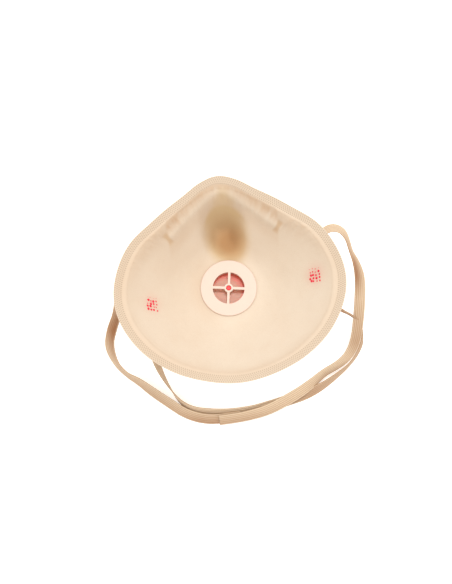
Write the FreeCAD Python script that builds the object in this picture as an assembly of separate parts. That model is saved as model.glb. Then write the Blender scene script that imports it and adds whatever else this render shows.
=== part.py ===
"""A moulded cup dust mask with an exhalation valve, lying on its valve with the face side up.

Units are millimetres. +X is the right edge of the cup, +Y is the nose, +Z is the side that the face goes in.
The origin is under the middle of the cup, on the surface that the valve cover rests on, and the valve is
on the Z axis.
"""

import FreeCAD
import Part
import math
import os
from FreeCAD import Rotation, Vector

OUT = "parts"

# Cup outline, seen from above: (degrees from the nose, distance from the valve axis), right half.
RIM_OUTLINE = [
    (0, 66.0),
    (10, 63.7),
    (22, 59.6),
    (35, 58.5),
    (50, 59.9),
    (65, 65.0),
    (80, 69.0),
    (95, 72.4),
    (108, 72.8),
    (125, 71.1),
    (140, 68.8),
    (160, 66.3),
    (180, 66.0),
]

# Cup depth and wall
VALVE_STAND = 8.5  # how far the valve stands out of the cup, down to the surface it rests on
LINING = 0.8  # soft felt against the face
FILTER = 0.5  # filter web
SHELL = 0.9  # stiff outer felt
EDGE_PRESSED = 0.45  # share of the wall's thickness that is left where the edge is welded
CUP_RISE = 40.0  # from the valve's flat land up to the inside of the welded edge
CUP_BELLY = 1.5  # 1 is a cone, 2 a bowl
SADDLE = 2.5  # how far the cheeks stand up, and the nose and chin stand down
LAND_MARGIN = 2.4  # how far the flat land reaches past the valve's flange
EDGE_WIDTH = 5.6  # welded edge at the nose and chin
EDGE_EXTRA = 2.4  # and how much wider it is at the cheeks
EDGE_SLOPE = 0.46  # rise of the welded edge for each millimetre outwards
BLEND_WIDTH = 5.0  # rounding where the wall turns into the welded edge

# Nose pocket: the hollow over the bridge of the nose
POCKET_DEPTH = 18.0
POCKET_START = 19.0  # distance from the valve axis, along Y
POCKET_DEEPEST = 41.0
POCKET_END = 54.0
POCKET_FLAT = 3.0  # half the width of its bottom
POCKET_HALF_WIDTH = 16.5

# Nose clip: a soft aluminium strip on the outside, which shows as a ridge inside
CLIP_PEAK = 56.6  # distance of its middle from the valve axis
CLIP_LEAN = 0.90  # how fast it falls to each side
CLIP_ROUND = 7.0  # how rounded it is over the nose
CLIP_HALF_SPAN = 35.5
CLIP_WIDTH = 5.0
CLIP_THICKNESS = 0.9
RIDGE_HEIGHT = 1.1
RIDGE_HALF_WIDTH = 4.2
RIDGE_FADE = 3.0  # over what length it ends
BOND_GAP = 0.05  # glue line under what is bonded to the cup

# Valve
VALVE_TURN = -9.0  # degrees that the grid is turned from the cup's own X axis
PORT_RADIUS = 10.5
BARREL_WALL = 1.5
FLANGE_RADIUS = 18.6
FLANGE_THICKNESS = 1.2
FLANGE_ROUND = 0.5
SPOKE_WIDTH = 1.6
SPOKE_DEPTH = 2.2
SPOKE_COUNT = 4
SPOKE_ROOT = 0.4  # how far a spoke reaches into the barrel's wall
HUB_RADIUS = 2.9
HUB_ABOVE_DISC = 0.8
STEM_RADIUS = 1.1
BULB_RADIUS = 1.65
BULB_HEIGHT = 1.3
BULB_ROUND = 0.5
BULB_SUNK = 0.15  # how far the bulb's top lies below the flange's
FOOT_SPREAD = 1.2
FOOT_HEIGHT = 0.6
FIT_GAP = 0.1
SEAT_GAP = 0.02  # between faces that close on each other
SEAT_DROP = 0.6  # how far the barrel reaches out of the ring
SEAT_LIP = 0.6  # width of the edge that the disc closes on
LIP_HEIGHT = 1.0
DISC_LAP = 2.5  # how far the disc reaches past the port
DISC_THICKNESS = 0.5
DISC_LIFT = 1.0  # how far the disc can leave its seat
RING_MARGIN = 0.9  # how far the ring and the cover reach past the flange
RING_THICKNESS = 1.3
SPIGOT_WALL = 1.1
SPIGOT_HEIGHT = 1.6
COVER_WALL = 1.0
COVER_ROUND = 1.6
VENT_COUNT = 8
VENT_SHARE = 0.62  # of the wall that is open
VENT_HEIGHT = 2.7
VENT_CLEAR = 1.5  # how far inside the wall the window cuts start
SLOT_COUNT = 5
SLOT_WIDTH = 1.6
SLOT_PITCH = 3.6
SLOT_RADIUS = 12.0

# Strap anchors
ANCHOR_PLACE = {"left": (-50.1, -8.5), "right": (54.7, -2.8)}
ANCHOR_LENGTH = 13.0
ANCHOR_THICKNESS = 1.2
BAR_LENGTH = 3.2
BAR_THICKNESS = 1.3
POST_WIDTH = 1.4
POST_ROOT = 0.5  # height in the plate at which the posts start
BAND_WIDTH = 7.2
BAND_THICKNESS = 0.9
BAND_SIDE_GAP = 0.45
BAND_FACE_GAP = 0.35
SPOT_ROWS = 4
SPOT_PITCH = 2.1
SPOT_RADIUS = 0.55
SPOT_HEIGHT = 0.12
SPOT_SUNK = 0.04

# Elastic band: (x, y, z, lean). The lean is 0 where the band stands on its edge and 90 where it lies flat,
# and it is above 0 where its top edge leans to the right of its course. One band goes through both anchors:
# the head loop leaves their upper ends and the neck loop their lower ends, and the band's two ends are lapped
# in the head loop.
BAND_STRAIGHT = 8.0  # how far it runs straight out of an anchor
BAND_STEP = 1.5
HEAD_LEFT = [
    (-55.5, 6.5, 32.0, -38),
    (-61.0, 11.0, 32.5, -38),
    (-67.5, 9.0, 32.5, -42),
    (-71.0, 1.5, 32.0, -48),
    (-72.3, -10.6, 31.0, -60),
    (-77.9, -20.9, 26.5, -72),
    (-81.6, -30.1, 19.0, -62),
    (-78.9, -41.0, 11.5, -26),
    (-73.0, -48.6, 7.5, -18),
    (-65.8, -53.4, 5.0, -34),
    (-56.5, -62.2, 3.4, -52),
    (-46.5, -70.4, 2.7, -58),
    (-38.5, -77.2, 2.6, -58),
    (-28.7, -82.0, 2.5, -60),
    (-16.5, -84.3, 2.5, -60),
    (-2.0, -83.4, 2.5, -60),
]
HEAD_RIGHT = [
    (57.5, 18.5, 38.2, 40),
    (63.0, 24.6, 37.6, 46),
    (70.0, 27.5, 36.8, 60),
    (76.2, 24.9, 36.0, 50),
    (79.0, 18.4, 35.3, 28),
    (80.0, 11.0, 34.3, 26),
    (82.8, 3.4, 33.0, 46),
    (84.2, -6.5, 31.2, 74),
    (82.6, -19.5, 28.0, 86),
    (80.5, -32.2, 23.2, 82),
    (77.4, -45.8, 16.5, 72),
    (71.9, -54.1, 12.5, 54),
    (64.2, -58.9, 9.5, 42),
    (55.8, -62.0, 7.6, 40),
    (47.8, -67.4, 6.6, 52),
    (39.9, -72.2, 6.2, 68),
    (29.0, -77.2, 6.2, 76),
    (16.0, -82.1, 4.8, 68),
    (4.0, -84.0, 3.7, 61),
    (-6.0, -84.7, 3.4, 60),
    (-16.0, -84.8, 3.35, 60),
]
NECK = [
    (-53.6, -32.0, 20.5, 44),
    (-52.4, -42.5, 13.5, 38),
    (-49.7, -51.6, 9.0, 22),
    (-45.4, -61.0, 6.0, 4),
    (-40.2, -70.0, 4.3, -14),
    (-32.4, -76.4, 3.6, -34),
    (-21.8, -79.4, 3.0, -50),
    (-11.8, -80.9, 2.7, -56),
    (-2.0, -81.2, 2.7, -56),
    (7.2, -80.8, 2.4, -62),
    (18.0, -79.3, 1.7, -76),
    (30.6, -76.8, 1.4, -82),
    (39.7, -75.1, 1.8, -74),
    (47.9, -72.8, 2.8, -52),
    (56.0, -69.4, 3.9, -34),
    (65.4, -63.9, 5.2, -20),
    (73.2, -58.6, 6.9, -10),
    (78.6, -52.6, 8.6, -14),
    (82.3, -46.2, 10.6, -18),
    (83.3, -39.0, 13.4, -6),
    (81.6, -32.8, 17.5, -4),
    (76.6, -29.0, 23.0, -8),
    (70.0, -26.0, 28.5, -2),
    (61.0, -20.5, 33.5, 30),
]

# How finely the cup's surfaces are controlled
ANGLE_COUNT = 96
WALL_RINGS = 24
EDGE_RINGS = 10
INNER_RING = 8.0

WALL = LINING + FILTER + SHELL
LAND_Z = VALVE_STAND + WALL
LAND_RADIUS = FLANGE_RADIUS + LAND_MARGIN
BARREL_RADIUS = PORT_RADIUS + BARREL_WALL
RING_RADIUS = FLANGE_RADIUS + RING_MARGIN
DISC_RADIUS = PORT_RADIUS + DISC_LAP
ANCHOR_WIDTH = BAND_WIDTH + 2 * (BAND_SIDE_GAP + POST_WIDTH)

# Heights in the valve, from the inside of the cup down to the surface it rests on
FLANGE_TOP = LAND_Z + BOND_GAP + FLANGE_THICKNESS
RING_BOTTOM = VALVE_STAND - BOND_GAP - RING_THICKNESS
SEAT_Z = RING_BOTTOM - SEAT_DROP
DISC_TOP = SEAT_Z - SEAT_GAP
BULB_TOP = FLANGE_TOP - BULB_SUNK
TOUCH = 0.01  # how near counts as on the same height
THROUGH = 60.0  # longer than any cut


def smooth(share):
    """0 below 0, 1 above 1, and an S curve between."""
    share = min(1.0, max(0.0, share))
    return share * share * (3 - 2 * share)


def rim_radius(angle):
    """Distance of the cup's edge from the valve axis, at an angle in radians from +X."""
    turn = abs((math.degrees(angle) - 90 + 180) % 360 - 180)
    points = [(-RIM_OUTLINE[1][0], RIM_OUTLINE[1][1])] + RIM_OUTLINE
    points.append((360 - RIM_OUTLINE[-2][0], RIM_OUTLINE[-2][1]))
    for before, low, high, after in zip(points, points[1:], points[2:], points[3:]):
        if turn <= high[0]:
            break
    span = high[0] - low[0]
    slope_low = (high[1] - before[1]) / (high[0] - before[0]) * span
    slope_high = (after[1] - low[1]) / (after[0] - low[0]) * span
    t = (turn - low[0]) / span
    return (
        low[1] * (2 * t**3 - 3 * t**2 + 1)
        + slope_low * (t**3 - 2 * t**2 + t)
        + high[1] * (3 * t**2 - 2 * t**3)
        + slope_high * (t**3 - t**2)
    )


def edge_width(angle):
    return EDGE_WIDTH + EDGE_EXTRA * math.cos(angle) ** 2


def clip_y(x):
    """The middle line of the nose clip, seen from above."""
    return CLIP_PEAK - CLIP_LEAN * (math.hypot(x, CLIP_ROUND) - CLIP_ROUND)


def clip_slope(x):
    return -CLIP_LEAN * x / math.hypot(x, CLIP_ROUND)


def height(x, y):
    """Height of the cup's inner face."""
    radius, angle = math.hypot(x, y), math.atan2(y, x)
    shoulder_radius = rim_radius(angle) - edge_width(angle)
    shoulder_z = LAND_Z + CUP_RISE + SADDLE * math.cos(2 * angle)
    share = (radius - LAND_RADIUS) / (shoulder_radius - LAND_RADIUS)
    bowl = LAND_Z + (shoulder_z - LAND_Z) * max(0.0, share) ** CUP_BELLY
    edge = shoulder_z + EDGE_SLOPE * (radius - shoulder_radius)
    z = bowl + (edge - bowl) * smooth((radius - shoulder_radius) / BLEND_WIDTH + 0.5)
    if y > POCKET_DEEPEST:
        along = 1 - smooth((y - POCKET_DEEPEST) / (POCKET_END - POCKET_DEEPEST))
    else:
        along = smooth((y - POCKET_START) / (POCKET_DEEPEST - POCKET_START))
    side = (abs(x) - POCKET_FLAT) / (POCKET_HALF_WIDTH - POCKET_FLAT)
    z -= POCKET_DEPTH * along * (1 - smooth(side))
    off = (y - clip_y(x)) / math.hypot(1, clip_slope(x))
    ends = 1 - smooth((abs(x) - CLIP_HALF_SPAN) / RIDGE_FADE + 0.5)
    z += RIDGE_HEIGHT * ends * (1 - smooth(abs(off) / RIDGE_HALF_WIDTH))
    return z


def face_point(x, y, depth=0.0):
    """A point that far behind the inner face, and the inner face's normal there."""
    step = 0.05
    normal = Vector(
        (height(x - step, y) - height(x + step, y)) / (2 * step),
        (height(x, y - step) - height(x, y + step)) / (2 * step),
        1,
    )
    normal.normalize()
    return Vector(x, y, height(x, y)) - normal * depth, normal


def pressed(x, y):
    """Share of the wall's thickness at a place: less where the edge is welded."""
    radius, angle = math.hypot(x, y), math.atan2(y, x)
    into_edge = (radius - rim_radius(angle) + edge_width(angle)) / BLEND_WIDTH + 0.5
    return 1 + (EDGE_PRESSED - 1) * smooth(into_edge)


def ring_radii(angle):
    """Where the surface's control points lie, out from the valve axis: close together in the edge."""
    edge_start = rim_radius(angle) - edge_width(angle) - BLEND_WIDTH / 2
    wall = [INNER_RING + (edge_start - INNER_RING) * i / WALL_RINGS for i in range(WALL_RINGS)]
    step = (rim_radius(angle) - edge_start) / (EDGE_RINGS - 1)
    return wall + [edge_start + step * i for i in range(EDGE_RINGS)]


def cup_surface(depth):
    """The cup's surface that deep in the wall, as one surface that closes on itself."""
    poles = []
    for i in range(ANGLE_COUNT):
        angle = 2 * math.pi * i / ANGLE_COUNT
        row = []
        for radius in ring_radii(angle):
            x, y = radius * math.cos(angle), radius * math.sin(angle)
            row.append(face_point(x, y, depth * pressed(x, y))[0])
        poles.append(row)
    surface = Part.BSplineSurface()
    round_knots = list(range(ANGLE_COUNT + 1))
    across_knots = list(range(WALL_RINGS + EDGE_RINGS - 2))
    surface.buildFromPolesMultsKnots(
        poles,
        [1] * len(round_knots),
        [4] + [1] * (len(across_knots) - 2) + [4],
        round_knots,
        across_knots,
        True,
        False,
        3,
        3,
    )
    return surface


def closed_solid(faces):
    shell = Part.Shell(faces)
    shell.sewShape()
    solid = Part.Solid(Part.Shell(shell.Faces))
    if solid.Volume < 0:
        solid.reverse()
    return solid


def cup_layer(upper, lower):
    """The solid between two of the cup's surfaces, with the valve's hole through it."""
    low, high = upper.bounds()[2:]
    sides = [Part.makeRuledSurface(upper.vIso(v).toShape(), lower.vIso(v).toShape()) for v in (low, high)]
    solid = closed_solid([upper.toShape(), lower.toShape(), *sides])
    return solid.cut(through_cut(BARREL_RADIUS + FIT_GAP))


def patch(grid):
    """A smooth surface that follows a grid of points, or a flat strip where the grid has only two rows."""
    counts = [len(grid), len(grid[0])]
    degrees = [3 if count > 3 else 1 for count in counts]
    knots = [list(range(count - degree + 1)) for count, degree in zip(counts, degrees)]
    mults = [[degree + 1] + [1] * (len(row) - 2) + [degree + 1] for row, degree in zip(knots, degrees)]
    surface = Part.BSplineSurface()
    surface.buildFromPolesMultsKnots(grid, *mults, *knots, False, False, *degrees)
    return surface.toShape()


def slab(upper, lower):
    """The solid between two grids of points that lie one over the other."""
    faces = [patch(upper), patch(lower)]
    for end in (0, -1):
        faces.append(patch([upper[end], lower[end]]))
        faces.append(patch([[row[end] for row in upper], [row[end] for row in lower]]))
    return closed_solid(faces)


def on_surface(surface, point):
    """The nearest place on a cup surface, and the way out of the cup there."""
    u, v = surface.parameter(point)
    out = surface.normal(u, v)
    if out.z > 0:
        out = out * -1
    return surface.value(u, v), out


def nose_clip(outside):
    stations, rows = 28, 5
    grids = []
    for depth in (BOND_GAP, BOND_GAP + CLIP_THICKNESS):
        grid = []
        for i in range(stations + 1):
            x = CLIP_HALF_SPAN * (2 * i / stations - 1)
            slope = clip_slope(x)
            across = Vector(-slope, 1, 0)
            across.normalize()
            row = []
            for j in range(rows):
                middle = Vector(x, clip_y(x), 0)
                at = middle + across * CLIP_WIDTH * (j / (rows - 1) - 0.5)
                start = face_point(at.x, at.y, WALL)[0]
                place, out = on_surface(outside, start)
                row.append(place + out * depth)
            grid.append(row)
        grids.append(grid)
    return slab(*grids)


def ring(outer, inner, bottom, top):
    body = Part.makeCylinder(outer, top - bottom, Vector(0, 0, bottom))
    return body.cut(Part.makeCylinder(inner, top - bottom, Vector(0, 0, bottom)))


def spokes(width, reach, bottom, top, count, turn):
    made = []
    for i in range(count):
        bar = Part.makeBox(reach, width, top - bottom, Vector(0, -width / 2, bottom))
        bar.rotate(Vector(0, 0, 0), Vector(0, 0, 1), turn + 360 * i / count)
        made.append(bar)
    return made


def through_cut(radius, bottom=-THROUGH / 2):
    return Part.makeCylinder(radius, THROUGH, Vector(0, 0, bottom))


def valve_seat():
    flange = Part.makeCylinder(FLANGE_RADIUS, FLANGE_THICKNESS, Vector(0, 0, LAND_Z + BOND_GAP))
    top_edges = [e for e in flange.Edges if e.BoundBox.ZMin > FLANGE_TOP - TOUCH]
    flange = flange.makeFillet(FLANGE_ROUND, top_edges)
    barrel = Part.makeCylinder(BARREL_RADIUS, FLANGE_TOP - SEAT_Z, Vector(0, 0, SEAT_Z))
    body = flange.fuse(barrel).cut(through_cut(PORT_RADIUS))
    body = body.cut(Part.makeCone(BARREL_RADIUS - SEAT_LIP, PORT_RADIUS, LIP_HEIGHT, Vector(0, 0, SEAT_Z)))
    grid_bottom = FLANGE_TOP - SPOKE_DEPTH
    grid = spokes(SPOKE_WIDTH, PORT_RADIUS + SPOKE_ROOT, grid_bottom, FLANGE_TOP, SPOKE_COUNT, VALVE_TURN)
    hub_bottom = DISC_TOP + HUB_ABOVE_DISC
    grid.append(Part.makeCylinder(HUB_RADIUS, FLANGE_TOP - hub_bottom, Vector(0, 0, hub_bottom)))
    body = body.multiFuse(grid).cut(through_cut(STEM_RADIUS + FIT_GAP))
    bulb_room = BULB_TOP - BULB_HEIGHT - DISC_LIFT - FIT_GAP
    return body.cut(through_cut(BULB_RADIUS + FIT_GAP, bulb_room)).removeSplitter()


def valve_disc():
    disc = Part.makeCylinder(DISC_RADIUS, DISC_THICKNESS, Vector(0, 0, DISC_TOP - DISC_THICKNESS))
    root = DISC_TOP - DISC_THICKNESS / 2
    stem = Part.makeCylinder(STEM_RADIUS, BULB_TOP - BULB_HEIGHT / 2 - root, Vector(0, 0, root))
    bulb = Part.makeCylinder(BULB_RADIUS, BULB_HEIGHT, Vector(0, 0, BULB_TOP - BULB_HEIGHT))
    bulb = bulb.makeFillet(BULB_ROUND, [e for e in bulb.Edges if e.BoundBox.ZMin > BULB_TOP - TOUCH])
    foot = Part.makeCone(STEM_RADIUS + FOOT_SPREAD, STEM_RADIUS, FOOT_HEIGHT, Vector(0, 0, DISC_TOP))
    return disc.multiFuse([stem, bulb, foot]).removeSplitter()


def valve_ring():
    """Snaps onto the seat's barrel from outside, so the cup's wall is clamped between them."""
    plate = ring(RING_RADIUS, BARREL_RADIUS + SEAT_GAP, RING_BOTTOM, RING_BOTTOM + RING_THICKNESS)
    outer = RING_RADIUS - COVER_WALL - FIT_GAP
    spigot = ring(outer, outer - SPIGOT_WALL, RING_BOTTOM - SPIGOT_HEIGHT, RING_BOTTOM)
    return plate.fuse(spigot).removeSplitter()


def valve_cover():
    top = RING_BOTTOM - SEAT_GAP
    inner = RING_RADIUS - COVER_WALL
    body = Part.makeCylinder(RING_RADIUS, top)
    body = body.makeFillet(COVER_ROUND, [e for e in body.Edges if e.BoundBox.ZMax < TOUCH])
    body = body.cut(Part.makeCylinder(inner, top, Vector(0, 0, COVER_WALL)))
    window = 360 / VENT_COUNT * VENT_SHARE
    width = 2 * RING_RADIUS * math.sin(math.radians(window / 2))
    reach = RING_RADIUS + COVER_WALL
    cuts = spokes(width, reach, COVER_ROUND, COVER_ROUND + VENT_HEIGHT, VENT_COUNT, VALVE_TURN)
    core = through_cut(inner - VENT_CLEAR)
    body = body.cut(Part.makeCompound([c.cut(core) for c in cuts]))
    slots = []
    for i in range(SLOT_COUNT):
        at = (i - (SLOT_COUNT - 1) / 2) * SLOT_PITCH
        half = math.sqrt(SLOT_RADIUS**2 - at**2)
        corner = Vector(-half, at - SLOT_WIDTH / 2, -COVER_WALL / 2)
        slot = Part.makeBox(2 * half, SLOT_WIDTH, 2 * COVER_WALL, corner)
        slot.rotate(Vector(0, 0, 0), Vector(0, 0, 1), VALVE_TURN)
        slots.append(slot)
    return body.cut(Part.makeCompound(slots)).removeSplitter()


def anchor_frame(outside, side):
    """Where an anchor sits outside the cup: its middle, its way out, along the band and across it."""
    middle, out = on_surface(outside, face_point(*ANCHOR_PLACE[side], WALL)[0])
    along = Vector(0, 1, 0)
    along = along - out * along.dot(out)
    along.normalize()
    return middle, out, along, out.cross(along)


def anchor(outside, side):
    middle, out, along, across = anchor_frame(outside, side)
    count = 5
    grids = []
    for depth in (BOND_GAP, ANCHOR_THICKNESS):
        grid = []
        for i in range(count):
            row = []
            for j in range(count):
                at = middle + along * ANCHOR_LENGTH * (i / (count - 1) - 0.5)
                at = at + across * ANCHOR_WIDTH * (j / (count - 1) - 0.5)
                place, way = on_surface(outside, at)
                row.append(place + way * depth)
            grid.append(row)
        grids.append(grid)
    plate = slab(*grids)
    bar_bottom = ANCHOR_THICKNESS + 2 * BAND_FACE_GAP + BAND_THICKNESS
    bar_top = bar_bottom + BAR_THICKNESS
    start, edge = -BAR_LENGTH / 2, ANCHOR_WIDTH / 2
    bar = Part.makeBox(BAR_LENGTH, ANCHOR_WIDTH, BAR_THICKNESS, Vector(start, -edge, bar_bottom))
    posts = [
        Part.makeBox(BAR_LENGTH, POST_WIDTH, bar_top - POST_ROOT, Vector(start, side_edge, POST_ROOT))
        for side_edge in (-edge, edge - POST_WIDTH)
    ]
    place = FreeCAD.Placement(middle, Rotation(along, across, out, "ZXY"))
    bridge = bar.multiFuse(posts).removeSplitter()
    bridge.Placement = place
    return plate.fuse(bridge).removeSplitter()


def weld_spots(inside, side):
    """A grid of small dots on the inner face, where the anchor's plastic came through the felt."""
    middle, out = on_surface(inside, face_point(*ANCHOR_PLACE[side])[0])
    along = Vector(0, 1, 0)
    along = along - out * along.dot(out)
    along.normalize()
    across = out.cross(along)
    spots = []
    for i in range(SPOT_ROWS):
        for j in range(SPOT_ROWS):
            step_a = (i - (SPOT_ROWS - 1) / 2) * SPOT_PITCH
            step_b = (j - (SPOT_ROWS - 1) / 2) * SPOT_PITCH
            place, way = on_surface(inside, middle + along * step_a + across * step_b)
            spots.append(Part.makeCylinder(SPOT_RADIUS, SPOT_HEIGHT, place - way * SPOT_SUNK, way * -1))
    return Part.makeCompound(spots)


def band_in_anchor(outside, side, heading):
    """Where the band lies in an anchor: its middle, its course for that heading along Y, and across it."""
    middle, out, along, across = anchor_frame(outside, side)
    depth = ANCHOR_THICKNESS + BAND_FACE_GAP + BAND_THICKNESS / 2
    if across.z < 0:
        across = across * -1
    return middle + out * depth, along * heading, across


def lean_of(course, across):
    side = course.cross(Vector(0, 0, 1))
    side.normalize()
    return math.degrees(math.atan2(across.dot(side), across.dot(side.cross(course))))


def band_route(outside, chosen, start, end=None):
    """The route's points and leans, with the straight stretches in the anchors added at its ends."""
    points = [Vector(x, y, z) for x, y, z, lean in chosen]
    leans = [lean for x, y, z, lean in chosen]
    middle, course, across = band_in_anchor(outside, *start)
    points = [middle, middle + course * BAND_STRAIGHT] + points
    leans = [lean_of(course, across)] * 2 + leans
    if end:
        middle, course, across = band_in_anchor(outside, *end)
        points += [middle - course * BAND_STRAIGHT, middle]
        leans += [lean_of(course, across)] * 2
    return points, leans


def band_course(name, points, leans):
    """The band's length, and its place and lean at a distance: runs joined by tangent arcs."""
    stretches, marks, radii = [], [(0, leans[0])], []
    start, length = points[0], 0
    for before, corner, after, lean in zip(points, points[1:], points[2:], leans[1:]):
        came, goes = corner - before, after - corner
        reach = 0.45 * min(came.Length, goes.Length)
        turn = came.getAngle(goes)
        radius = reach / math.tan(turn / 2)
        came.normalize()
        goes.normalize()
        axis = came.cross(goes).normalize()
        arc_start = corner - came * reach
        run = (arc_start - start).Length
        stretches.append((length, start, came, None))
        length += run
        stretches.append((length, arc_start, axis, arc_start + axis.cross(came) * radius))
        marks.append((length + radius * turn / 2, lean))
        length += radius * turn
        radii.append(radius)
        start = corner + goes * reach
    stretches.append((length, start, goes, None))
    length += (points[-1] - start).Length
    marks.append((length, leans[-1]))
    print(f"{name}: {length:.1f} mm long, radii " + " ".join(f"{radius:.0f}" for radius in radii))

    def place_at(distance):
        begins, first, way, centre = [s for s in stretches if s[0] <= max(0, distance)][-1]
        if centre is None:
            return first + way * (distance - begins)
        arm = first - centre
        return centre + Rotation(way, math.degrees((distance - begins) / arm.Length)).multVec(arm)

    def lean_at(distance):
        for (low, lean_low), (high, lean_high) in zip(marks, marks[1:]):
            if distance <= high:
                break
        return lean_low + (lean_high - lean_low) * smooth((distance - low) / (high - low))

    return length, place_at, lean_at


def band(name, points, leans):
    length, place_at, lean_at = band_course(name, points, leans)
    count = round(length / BAND_STEP)
    nearby = 0.2
    grids = ([], [])
    for i in range(count + 1):
        distance = length * i / count
        course = (place_at(distance + nearby) - place_at(distance - nearby)).normalize()
        side = course.cross(Vector(0, 0, 1)).normalize()
        lean = math.radians(lean_at(distance))
        across = side.cross(course) * math.cos(lean) + side * math.sin(lean)
        face = course.cross(across)
        for grid, sign in zip(grids, (-1, 1)):
            middle = place_at(distance) + face * sign * BAND_THICKNESS / 2
            grid.append([middle - across * BAND_WIDTH / 2, middle + across * BAND_WIDTH / 2])
    solid = slab(*grids)
    section = BAND_WIDTH * BAND_THICKNESS
    print(f"   section x length {section * length:.0f} mm3, lowest {solid.BoundBox.ZMin:.2f}")
    return solid


def save(name, shape):
    bad = [s for s in shape.Solids if not s.isValid()]
    print(f"{name}: {len(shape.Solids)} solids, {shape.Volume:.1f} mm3, bad {len(bad)}")
    shape.exportStep(os.path.join(OUT, name + ".step"))


def main():
    os.makedirs(OUT, exist_ok=True)
    depths = [0, LINING, LINING + FILTER, WALL]
    surfaces = [cup_surface(depth) for depth in depths]
    inside, outside = surfaces[0], surfaces[-1]
    names = ["face_lining", "filter_web", "outer_shell"]
    for name, upper, lower in zip(names, surfaces, surfaces[1:]):
        save(name, cup_layer(upper, lower))
    save("nose_clip", nose_clip(outside))
    save("valve_seat", valve_seat())
    save("valve_disc", valve_disc())
    save("valve_ring", valve_ring())
    save("valve_cover", valve_cover())
    for side in ("left", "right"):
        save(f"strap_anchor_{side}", anchor(outside, side))
        save(f"weld_spots_{side}", weld_spots(inside, side))
    routes = {
        "head_band_left": band_route(outside, HEAD_LEFT, ("left", 1)),
        "head_band_right": band_route(outside, HEAD_RIGHT, ("right", 1)),
        "neck_band": band_route(outside, NECK, ("left", -1), ("right", 1)),
    }
    for name, (points, leans) in routes.items():
        save(name, band(name, points, leans))


main()
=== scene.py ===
import math
import random

import bpy
import numpy as np
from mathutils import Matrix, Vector, noise
from mathutils.bvhtree import BVHTree


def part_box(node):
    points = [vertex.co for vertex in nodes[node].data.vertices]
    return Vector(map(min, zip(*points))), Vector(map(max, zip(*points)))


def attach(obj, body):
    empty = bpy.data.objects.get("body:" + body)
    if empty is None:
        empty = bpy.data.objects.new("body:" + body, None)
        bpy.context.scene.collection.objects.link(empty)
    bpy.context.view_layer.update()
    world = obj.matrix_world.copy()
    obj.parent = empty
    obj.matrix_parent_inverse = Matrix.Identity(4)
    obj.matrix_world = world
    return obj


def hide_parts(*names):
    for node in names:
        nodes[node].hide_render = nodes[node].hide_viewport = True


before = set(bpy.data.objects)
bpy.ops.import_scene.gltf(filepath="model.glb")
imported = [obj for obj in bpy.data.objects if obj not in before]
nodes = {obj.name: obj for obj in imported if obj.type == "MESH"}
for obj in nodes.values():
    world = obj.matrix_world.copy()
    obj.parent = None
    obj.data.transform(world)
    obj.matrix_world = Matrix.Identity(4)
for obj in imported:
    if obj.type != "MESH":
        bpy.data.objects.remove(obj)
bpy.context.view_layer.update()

mm = 0.001
scene = bpy.context.scene
body = "mask"


# camera, floor and light
studio = {
    "azimuth": -6.63, "elevation": 80.0, "distance": 0.70, "aim": (0, 0, 30 * mm),
    "lens": 86.9, "shift": (-0.006, -0.0197),
    "floorSize": 3.0, "floorColour": (0.93, 0.93, 0.93, 1), "floorGlow": 0.42,
    "skyColour": (1.0, 0.94, 0.865, 1), "skyStrength": 1.19,
    "keyFrom": (0.12, 0.26, 0.95), "keyPower": 1.3, "keyAngle": 12.0, "keyColour": (1.0, 0.985, 0.965),
}


def viewDirection(azimuth, elevation):
    az, el = math.radians(azimuth), math.radians(elevation)
    return Vector((math.sin(az) * math.cos(el), -math.cos(az) * math.cos(el), math.sin(el)))


def makeStudio(s):
    lens = bpy.data.cameras.new("camera")
    lens.lens, lens.sensor_width, lens.sensor_fit = s["lens"], 36.0, "HORIZONTAL"
    lens.shift_x, lens.shift_y = s["shift"]
    lens.clip_start = 0.01
    eye = bpy.data.objects.new("camera", lens)
    back = viewDirection(s["azimuth"], s["elevation"])
    eye.location = Vector(s["aim"]) + back * s["distance"]
    eye.rotation_euler = back.to_track_quat("Z", "Y").to_euler()
    scene.collection.objects.link(eye)
    scene.camera = eye

    sky = bpy.data.worlds.new("sky")
    sky.use_nodes = True
    sky.node_tree.nodes["Background"].inputs["Color"].default_value = s["skyColour"]
    sky.node_tree.nodes["Background"].inputs["Strength"].default_value = s["skyStrength"]
    scene.world = sky

    sun = bpy.data.lights.new("key", "SUN")
    sun.energy, sun.angle, sun.color = s["keyPower"], math.radians(s["keyAngle"]), s["keyColour"]
    key = bpy.data.objects.new("key", sun)
    key.rotation_euler = Vector(s["keyFrom"]).to_track_quat("Z", "Y").to_euler()
    scene.collection.objects.link(key)

    half = s["floorSize"] / 2
    mesh = bpy.data.meshes.new("floor")
    corners = [(-half, -half, 0), (half, -half, 0), (half, half, 0), (-half, half, 0)]
    mesh.from_pydata(corners, [], [(0, 1, 2, 3)])
    floor = bpy.data.objects.new("floor", mesh)
    paint = bpy.data.materials.new("paleFloor")
    paint.use_nodes = True
    shader = paint.node_tree.nodes["Principled BSDF"]
    shader.inputs["Base Color"].default_value = s["floorColour"]
    shader.inputs["Roughness"].default_value = 0.9
    shader.inputs["Specular IOR Level"].default_value = 0.1
    shader.inputs["Emission Color"].default_value = (1, 1, 1, 1)
    shader.inputs["Emission Strength"].default_value = s["floorGlow"]
    mesh.materials.append(paint)
    scene.collection.objects.link(floor)
    scene.view_settings.view_transform = "Standard"


makeStudio(studio)
print("studio ready")


# helpers for the pieces
def addPiece(name, verts, faces, material):
    mesh = bpy.data.meshes.new(name)
    mesh.from_pydata([tuple(v) for v in verts], [], faces)
    mesh.validate()
    mesh.polygons.foreach_set("use_smooth", [True] * len(mesh.polygons))
    mesh.materials.append(material)
    piece = bpy.data.objects.new(name, mesh)
    scene.collection.objects.link(piece)
    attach(piece, body)
    return piece


def setMask(piece, name, values):
    layer = piece.data.attributes.new(name, "FLOAT", "POINT")
    layer.data.foreach_set("value", np.asarray(values, dtype=np.float32).ravel())


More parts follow.
